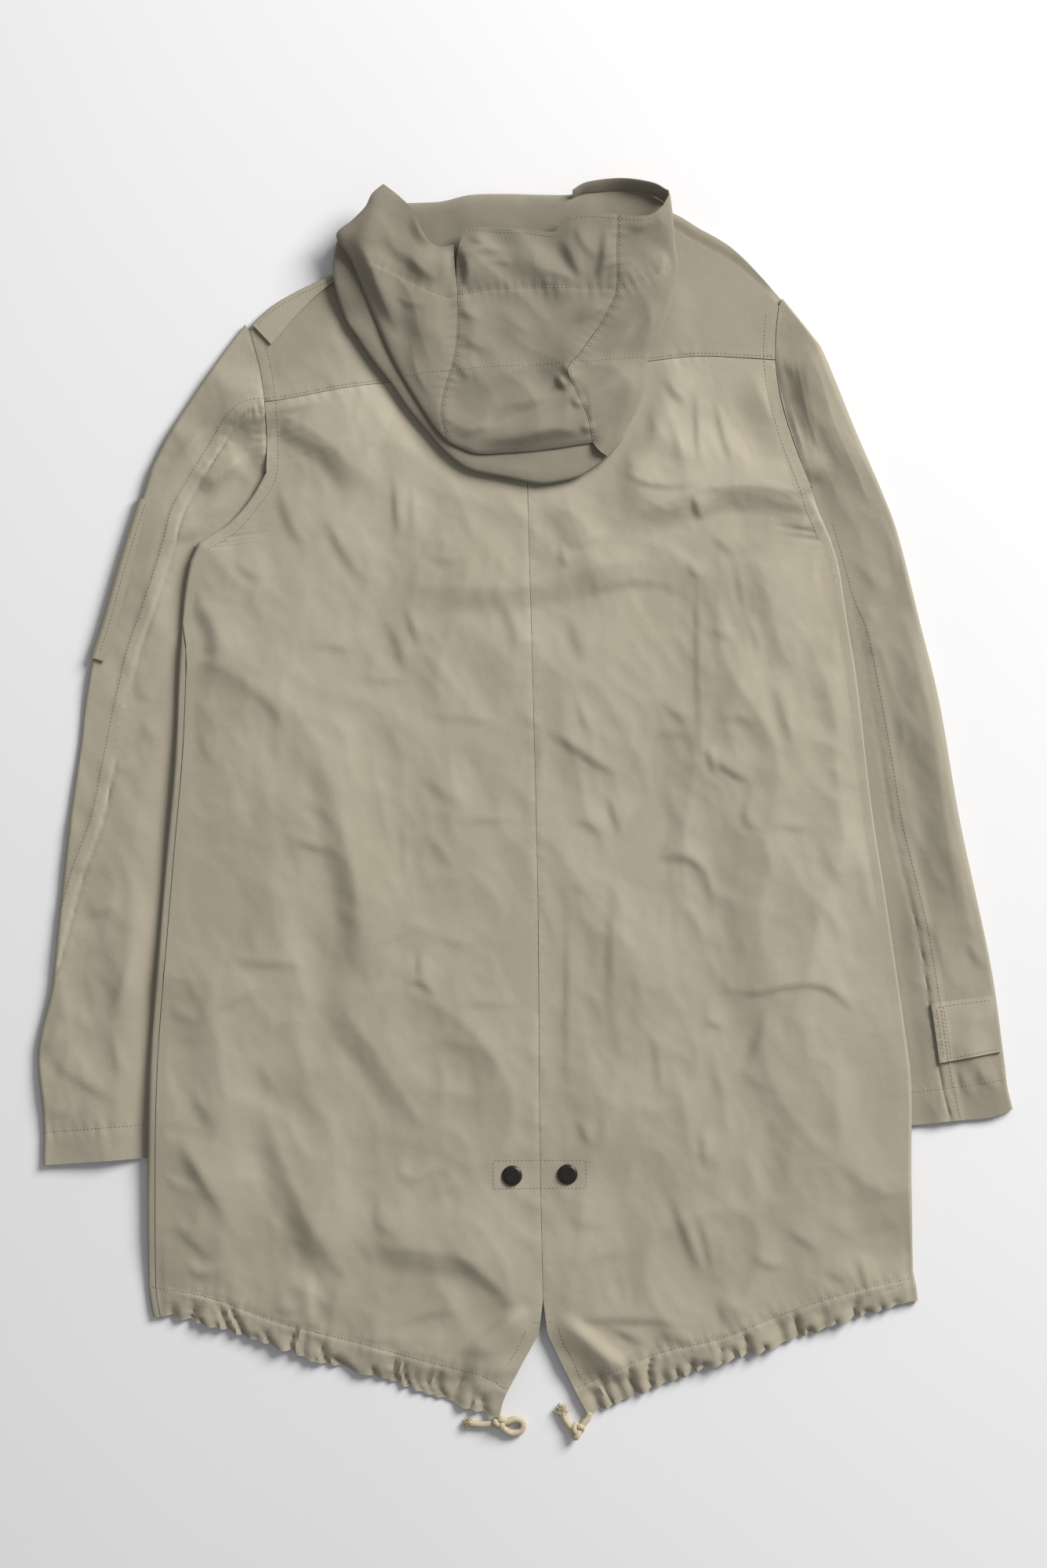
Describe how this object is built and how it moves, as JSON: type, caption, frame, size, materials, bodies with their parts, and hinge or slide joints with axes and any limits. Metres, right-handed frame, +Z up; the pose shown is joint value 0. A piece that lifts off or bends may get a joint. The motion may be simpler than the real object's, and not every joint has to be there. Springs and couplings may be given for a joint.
{
  "type": "parka",
  "caption": "Hooded fishtail parka in cotton twill, laid flat face down with its back up; split tail with two snaps, gathered drawcord hem, sleeves beside the body.",
  "frame": {"origin": "middle of the laid garment's outline, on the surface that it lies on, the free cord ends left out", "axes": "+Y to the hood, +X to the right of the picture (the wearer's right, the garment lying on its front), +Z up, out of the garment's back"},
  "size_m": [0.7838, 1.0117, 0.0375],
  "materials": {
    "twill": "creased khaki cotton twill",
    "snap": "dark satin lacquer",
    "cord": "braided cream cotton"
  },
  "bodies": {
    "root": {"back_left": "twill", "back_right": "twill", "yoke": "twill", "front_left": "twill", "front_right": "twill", "sleeve_left": "twill", "sleeve_right": "twill", "sleeve_pocket_left": "twill", "cuff_strap_right": "twill", "epaulette_left": "twill", "epaulette_right": "twill", "hood_under": "twill", "hood_left": "twill", "hood_centre": "twill", "hood_right": "twill", "hood_rim_right": "twill", "snap_left": "snap", "snap_right": "snap", "cord_left_loop": "cord", "cord_left_knot": "cord", "cord_left_tail": "cord", "cord_right_lead": "cord", "cord_right_knot": "cord", "cord_right_tail": "cord"}
  },
  "joints": []
}
